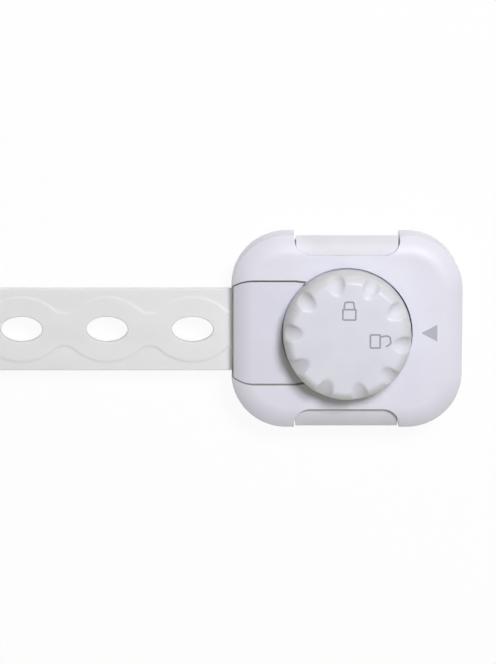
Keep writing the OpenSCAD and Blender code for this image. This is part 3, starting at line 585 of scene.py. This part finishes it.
def makeStrap(settings):
    s = settings
    outline = cornered([(s["tail"], -s["half"], s["tailRound"]), (s["right"], -s["half"], s["cornerRound"]),
                        (s["right"], -s["tabHalf"], s["neckRound"]), (s["tab"], -s["tabHalf"], s["cornerRound"]),
                        (s["tab"], s["tabHalf"], s["cornerRound"]), (s["right"], s["tabHalf"], s["neckRound"]),
                        (s["right"], s["half"], s["cornerRound"]), (s["tail"], s["half"], s["tailRound"])],
                       s["cornerSteps"])
    band = bandLine(s)
    holes = [oval(s["holeFirst"] - i * s["pitch"], 0, s["holeLength"] / 2, s["holeWidth"] / 2)
             for i in range(s["holes"])]
    pegs = [oval(s["pegX"], y, s["pegHole"], s["pegHole"], s["pegPoints"]) for y in (-s["pegY"], s["pegY"])]
    points, faces = [], []
    sides = roundedRings(outline, s["low"], s["high"], s["edge"], s["edgeSteps"])
    edge = layRings(points, faces, sides)
    pegSides = [roundedRings(p, s["low"], s["high"], s["pegEdge"], s["pegSteps"]) for p in pegs]
    pegEdges = [layRings(points, faces, p) for p in pegSides]
    holeSides = [roundedRings(h, s["low"] - s["band"], s["high"] + s["band"], s["holeEdge"], s["holeSteps"])
                 for h in holes]
    holeEdges = [layRings(points, faces, h) for h in holeSides]
    for end, way in ((-1, 1), (0, -1)):  # upper and lower face
        level = s["high"] if end else s["low"]
        slope = []
        for share in np.linspace(0, 1, s["slopeRings"]):
            lift = share * share * (3 - 2 * share) * s["band"]
            slope.append((insetLoop(band, (share - s["slopeOut"]) * s["slope"]), level + way * lift))
        slopeFaces = []
        firsts = layRings(points, slopeFaces, slope)
        flat = fillFlat((sides[end][0], edge[end]), [(slope[0][0], firsts[0])]
                        + [(p[end][0], e[end]) for p, e in zip(pegSides, pegEdges)])
        raised = fillFlat((slope[-1][0], firsts[-1]), [(h[end][0], e[end]) for h, e in zip(holeSides, holeEdges)])
        faces += [f if way > 0 else f[::-1] for f in slopeFaces + flat + raised]
    piece = newPiece("perforated_strap", points, faces, strapTpu, "tongue", s["sharp"])
    piece.modifiers.new("shade", "WEIGHTED_NORMAL").keep_sharp = True
    return piece


strap = makeStrap(strapSettings)
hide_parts("strap")
print("strap made")


# Foam tapes under the housing and the anchor: their cut sides draw in a little between the faces
tapeSettings = {"pinch": 0.12, "rings": 7, "cornerSteps": 14, "housingCorner": 10.2, "anchorCorner": 7.5}


def makeTape(name, node, body, corner, settings):
    s = settings
    low, high = (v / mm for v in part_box(node))
    line = cornered([(low.x, low.y, corner), (high.x, low.y, corner), (high.x, high.y, corner),
                     (low.x, high.y, corner)], s["cornerSteps"])
    rings = []
    for i in range(s["rings"]):
        share = i / (s["rings"] - 1)
        rings.append((insetLoop(line, s["pinch"] * math.sin(math.pi * share)), low.z + (high.z - low.z) * share))
    points, faces = [], []
    firsts = layRings(points, faces, rings)
    faces += fillFlat((rings[-1][0], firsts[-1]), [])
    faces += [f[::-1] for f in fillFlat((rings[0][0], firsts[0]), [])]
    piece = newPiece(name, points, faces, tapeFoam, body)
    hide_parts(node)


makeTape("housing_foam_tape", "housing_pad", "housing", tapeSettings["housingCorner"], tapeSettings)
makeTape("anchor_foam_tape", "anchor_pad", "tongue", tapeSettings["anchorCorner"], tapeSettings)
print("foam tapes made")


# Button springs: drawn wire, end turns closed up, shown at rest; in use they shorten with their button
coilSettings = {"radius": 1.35, "wire": 0.2, "turns": 6, "closedPitch": 2.1, "steps": 26, "sides": 10, "travel": 2.0}


def makeSprings(name, node, settings):
    s = settings
    low, high = (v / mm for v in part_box(node))
    side = 1 if high.y > 0 else -1
    near, far = (low.y, high.y) if side > 0 else (high.y, low.y)
    length = abs(far - near) - 2 * s["wire"]
    closed = s["closedPitch"] * s["wire"]
    height = (low.z + high.z) / 2
    points, faces = [], []
    count = s["turns"] * s["steps"]
    for middle in (low.x + s["radius"] + s["wire"], high.x - s["radius"] - s["wire"]):
        first = len(points)
        for i in range(count + 1):
            turn = i / s["steps"]
            inner = np.clip(turn - 1, 0, s["turns"] - 2)
            ends = min(turn, 1) + max(turn - s["turns"] + 1, 0)
            rise = ends * closed + inner / (s["turns"] - 2) * (length - 2 * closed)
            a = 2 * math.pi * turn
            for k in range(s["sides"]):
                b = 2 * math.pi * k / s["sides"]
                r = s["radius"] + s["wire"] * math.cos(b)
                along = near + side * (s["wire"] + rise + s["wire"] * math.sin(b))
                points.append((middle + r * math.cos(a), along, height + r * math.sin(a)))
        for i in range(count):
            quads = ringFaces(first + i * s["sides"], first + (i + 1) * s["sides"], s["sides"])
            faces += quads if side > 0 else [q[::-1] for q in quads]
        caps = [tuple(range(first, first + s["sides"])),
                tuple(range(len(points) - 1, len(points) - s["sides"] - 1, -1))]
        faces += caps if side < 0 else [c[::-1] for c in caps]
    piece = newPiece(name, points, faces, wireSteel, "housing")
    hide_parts(node)
    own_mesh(piece)


makeSprings("upper_coils", "upper_button_springs", coilSettings)
makeSprings("lower_coils", "lower_button_springs", coilSettings)
print("springs made")


# Latch fork: root plate with two hooked prongs, shown straight as at rest; in use they bend in with the buttons so that
# their hooks let go
forkSettings = {"low": 5.9, "high": 8.9, "rootLeft": -14.2, "rootRight": -10.2, "half": 8.35, "prongIn": 6.75,
                "prongStart": -10.25, "hookX": 6.9, "hookFlat": 7.5, "hookEnd": 10.8, "hookOut": 10.15,
                "screwX": -12.2, "screwY": 4.6, "screwHole": 1.05, "screwPoints": 24, "edge": 0.15, "edgeSteps": 3,
                "round": 0.3, "rootRound": 0.6, "tipRound": 0.4, "hookRound": 0.25, "sharp": 50, "keep": 0.77}


def forkPlate(name, outline, holes, settings):
    s = settings
    points, faces = [], []
    sides = [roundedRings(line, s["low"], s["high"], s["edge"], s["edgeSteps"]) for line in [outline] + holes]
    firsts = [layRings(points, faces, rings) for rings in sides]
    for end in (-1, 0):  # upper and lower face
        lines = [(rings[end][0], first[end]) for rings, first in zip(sides, firsts)]
        fill = fillFlat(lines[0], lines[1:])
        faces += fill if end else [f[::-1] for f in fill]
    piece = newPiece(name, points, faces, forkAcetal, "tongue", s["sharp"])
    piece.modifiers.new("shade", "WEIGHTED_NORMAL").keep_sharp = True
    return piece


def makeFork(settings):
    s = settings
    root = cornered([(s["rootLeft"], -s["half"], s["rootRound"]), (s["rootRight"], -s["half"], s["round"]),
                     (s["rootRight"], s["half"], s["round"]), (s["rootLeft"], s["half"], s["rootRound"])])
    holes = [oval(s["screwX"], y, s["screwHole"], s["screwHole"], s["screwPoints"])
             for y in (-s["screwY"], s["screwY"])]
    plate = forkPlate("fork_root", root, holes, s)
    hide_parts("latch_fork")
    prong = cornered([(s["prongStart"], s["prongIn"], 0), (s["hookEnd"], s["prongIn"], s["tipRound"]),
                      (s["hookEnd"], s["half"], s["round"]), (s["hookFlat"], s["hookOut"], s["round"]),
                      (s["hookX"], s["hookOut"], s["hookRound"]), (s["hookX"], s["half"], s["round"]),
                      (s["prongStart"], s["half"], 0)])
    for name, joint, side in (("upper_prong", "upper_button_press", 1), ("lower_prong", "lower_button_press", -1)):
        line = prong if side > 0 else (prong * np.array([1, -1]))[::-1]
        piece = forkPlate(name, line, [], s)
        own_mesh(piece)


makeFork(forkSettings)
print("fork made")


# Printed signs: two padlocks on the knob, upright closed and turned open, and an arrow on the cover
signSettings = {"line": 0.4, "lift": 0.012, "bowLift": 0.003, "ink": 0.03,
                "closedBody": [(-1.30, 4.65, 0.35), (1.75, 4.65, 0.12), (1.75, 7.12, 0.12), (-1.30, 7.12, 0.12)],
                "closedShackle": [(-1.02, 7.12), (-0.83, 8.54), (-0.49, 8.86), (0.99, 8.86), (1.28, 8.54),
                                  (1.47, 7.12)],
                "openBody": [(5.24, -2.06, 0.35), (7.56, -2.06, 0.12), (7.56, 1.07, 0.12), (5.24, 1.07, 0.12)],
                "openShackle": [(7.60, 0.42), (8.13, 0.66), (9.15, 0.78), (9.83, 0.49), (10.0, -0.33),
                                (10.05, -0.90), (9.6, -1.36), (8.93, -1.77)],
                "arrowTip": 17.95, "arrowEnd": 21.6, "arrowHalf": 2.05, "arrowPoint": 0.12, "arrowRows": 16,
                "arrowColumns": 5, "coverTop": 13.0, "dishEdge": 17.6, "dishFall": 0.45 / 1.95}


def stroke(line, width, closed):  # a flat ribbon along a line
    line = np.array(line, float)
    before, after = np.roll(line, 1, 0), np.roll(line, -1, 0)
    if not closed:
        before[0], after[-1] = 2 * line[0] - line[1], 2 * line[-1] - line[-2]
    run = (after - line) / np.linalg.norm(after - line, axis=1)[:, None] \
        + (line - before) / np.linalg.norm(line - before, axis=1)[:, None]
    run /= np.linalg.norm(run, axis=1)[:, None]
    side = np.stack([-run[:, 1], run[:, 0]], 1) * width / 2
    count = len(line)
    faces = [(i, (i + 1) % count, count + (i + 1) % count, count + i) for i in range(count if closed else count - 1)]
    return np.concatenate([line - side, line + side]), faces


def softLine(line, steps=6):  # a smooth line through the given points
    line = np.array(line, float)
    padded = np.concatenate([[2 * line[0] - line[1]], line, [2 * line[-1] - line[-2]]])
    out = []
    for a, b, c, d in zip(padded, padded[1:], padded[2:], padded[3:]):
        for t in np.linspace(0, 1, steps, endpoint=False):
            out.append(0.5 * (2 * b + (c - a) * t + (2 * a - 5 * b + 4 * c - d) * t * t
                              + (3 * b - a - 3 * c + d) * t ** 3))
    out.append(line[-1])
    return np.array(out)


def inkLayer(points, faces, depth):  # a flat print given its thickness, the lower face sunk in the plastic
    corners = points[np.array(faces)]
    spread = np.cross(corners[:, 2] - corners[:, 0], corners[:, 3] - corners[:, 1])[:, 2]
    faces = [f if way > 0 else f[::-1] for f, way in zip(faces, spread)]
    edges = [(f[i - 1], f[i]) for f in faces for i in range(4)]
    known = set(edges)
    count = len(points)
    sides = [(b, a, a + count, b + count) for a, b in edges if (b, a) not in known]
    back = [tuple(i + count for i in f[::-1]) for f in faces]
    return np.concatenate([points, points - np.array([0, 0, depth])]), faces + sides + back


def printPadlock(name, settings):
    s = settings
    body, bodyFaces = stroke(cornered(s[name + "Body"]), s["line"], True)
    bow, bowFaces = stroke(softLine(s[name + "Shackle"]), s["line"], False)
    flat = np.concatenate([body, bow])
    height = knobTopHeight(knobSettings, np.hypot(flat[:, 0], flat[:, 1])) + s["lift"]
    height[len(body):] += s["bowLift"]
    faces = bodyFaces + [tuple(i + len(body) for i in f) for f in bowFaces]
    points, faces = inkLayer(np.column_stack([flat, height]), faces, s["ink"])
    newPiece(name + "_padlock_sign", points, faces, signInk, "knob")


def printArrow(settings):
    s = settings
    rows, columns = s["arrowRows"], s["arrowColumns"]
    along = np.linspace(0, 1, rows)
    half = s["arrowPoint"] + (s["arrowHalf"] - s["arrowPoint"]) * along
    x = np.repeat(s["arrowTip"] + (s["arrowEnd"] - s["arrowTip"]) * along, columns)
    y = (half[:, None] * np.linspace(-1, 1, columns)).ravel()
    height = s["coverTop"] - np.maximum(0, s["dishEdge"] - np.hypot(x, y)) * s["dishFall"] + s["lift"]
    starts = [i * columns + j for i in range(rows - 1) for j in range(columns - 1)]
    faces = [(k, k + columns, k + columns + 1, k + 1) for k in starts]
    points, faces = inkLayer(np.column_stack([x, y, height]), faces, s["ink"])
    newPiece("arrow_sign", points, faces, arrowInk, "housing")


printPadlock("closed", signSettings)
printPadlock("open", signSettings)
printArrow(signSettings)
print("signs printed")


# Studio: white paper sweep, a soft key from the upper right, and two weak low lamps at the long sides
studioSettings = {"paper": "#FBFBFB", "paperCloud": "#F8F8F8", "paperSide": 4000.0, "cloud": 10.0, "paperDrop": 0.02,
                  "shadowShare": 0.07, "sky": "#FAF7E4", "skyLevel": 0.27,
                  "keyPower": 3.7, "keySize": 0.2, "keyPlace": (0.155, 0.273, 0.63), "keyColour": "#F8F8FF",
                  "fillPower": 0.6, "fillSize": 0.4, "fillPlace": (0.0, 0.9, 0.06), "fillColour": "#FFF7C0",
                  "backPower": 0.5, "backSize": 0.4, "backPlace": (-0.25, -0.85, 0.12), "backColour": "#FFFCEC"}


# Paper, calendered: plain white for the eye and for gloss, while the soft shadow stays on it.
# The pulp is faintly cloudy, in clouds of about 10 mm.
def calenderedPaper(name, settings):
    s = settings
    material, tree = startMaterial(name)
    cloud = addNode(tree, "ShaderNodeTexNoise", {"Scale": s["paperSide"] / s["cloud"], "Detail": 2.0})
    tone = addNode(tree, "ShaderNodeValToRGB", {"Fac": cloud.outputs["Fac"]},
                   stops=[(noiseLow, s["paper"]), (noiseHigh, s["paperCloud"])])
    paper = addNode(tree, "ShaderNodeBsdfDiffuse", {"Color": tone.outputs["Color"]})
    white = addNode(tree, "ShaderNodeEmission", {"Color": (1, 1, 1, 1), "Strength": 1.0})
    path = addNode(tree, "ShaderNodeLightPath")
    seen = addNode(tree, "ShaderNodeMath", {0: path.outputs["Is Camera Ray"], 1: path.outputs["Is Glossy Ray"]},
                   operation="MAXIMUM")
    clear = addNode(tree, "ShaderNodeMath", {0: seen.outputs[0], 1: path.outputs["Is Transmission Ray"]},
                    operation="MAXIMUM")
    share = addNode(tree, "ShaderNodeMath", {0: clear.outputs[0], 1: 1 - s["shadowShare"]}, operation="MULTIPLY")
    both = addNode(tree, "ShaderNodeMixShader", {"Fac": share.outputs[0], 1: paper.outputs[0], 2: white.outputs[0]})
    addNode(tree, "ShaderNodeOutputMaterial", {"Surface": both.outputs[0]})
    return material


def layPaper(settings):
    half = settings["paperSide"] / 2 * mm
    mesh = bpy.data.meshes.new("paper_sweep")
    mesh.from_pydata([(-half, -half, 0), (half, -half, 0), (half, half, 0), (-half, half, 0)], [], [(0, 1, 2, 3)])
    mesh.materials.append(calenderedPaper("paperCalendered", settings))
    floor = bpy.data.objects.new("paper_sweep", mesh)
    floor.location = (0, 0, -settings["paperDrop"] * mm)
    scene.collection.objects.link(floor)


def makeSky(settings):  # soft light from all round, plain white to the camera
    world = bpy.data.worlds.new("studio")
    world.use_nodes = True
    scene.world = world
    tree = world.node_tree
    tree.nodes.clear()
    path = addNode(tree, "ShaderNodeLightPath")
    soft = addNode(tree, "ShaderNodeBackground", {"Color": linear(settings["sky"]), "Strength": settings["skyLevel"]})
    plain = addNode(tree, "ShaderNodeBackground", {"Color": (1, 1, 1, 1), "Strength": 1.0})
    both = addNode(tree, "ShaderNodeMixShader", {"Fac": path.outputs["Is Camera Ray"], 1: soft.outputs[0],
                   2: plain.outputs[0]})
    addNode(tree, "ShaderNodeOutputWorld", {"Surface": both.outputs[0]})


def hangLamp(name, settings):
    light = bpy.data.lights.new(name, "AREA")
    light.energy = settings[name + "Power"]
    light.size = settings[name + "Size"]
    light.color = linear(settings[name + "Colour"])[:3]
    lamp = bpy.data.objects.new(name, light)
    lamp.location = settings[name + "Place"]
    lamp.rotation_euler = (-lamp.location).to_track_quat("-Z", "Y").to_euler()
    scene.collection.objects.link(lamp)


layPaper(studioSettings)
makeSky(studioSettings)
for name in ("key", "fill", "back"):
    hangLamp(name, studioSettings)
scene.view_settings.view_transform = "Standard"
print("studio lit")
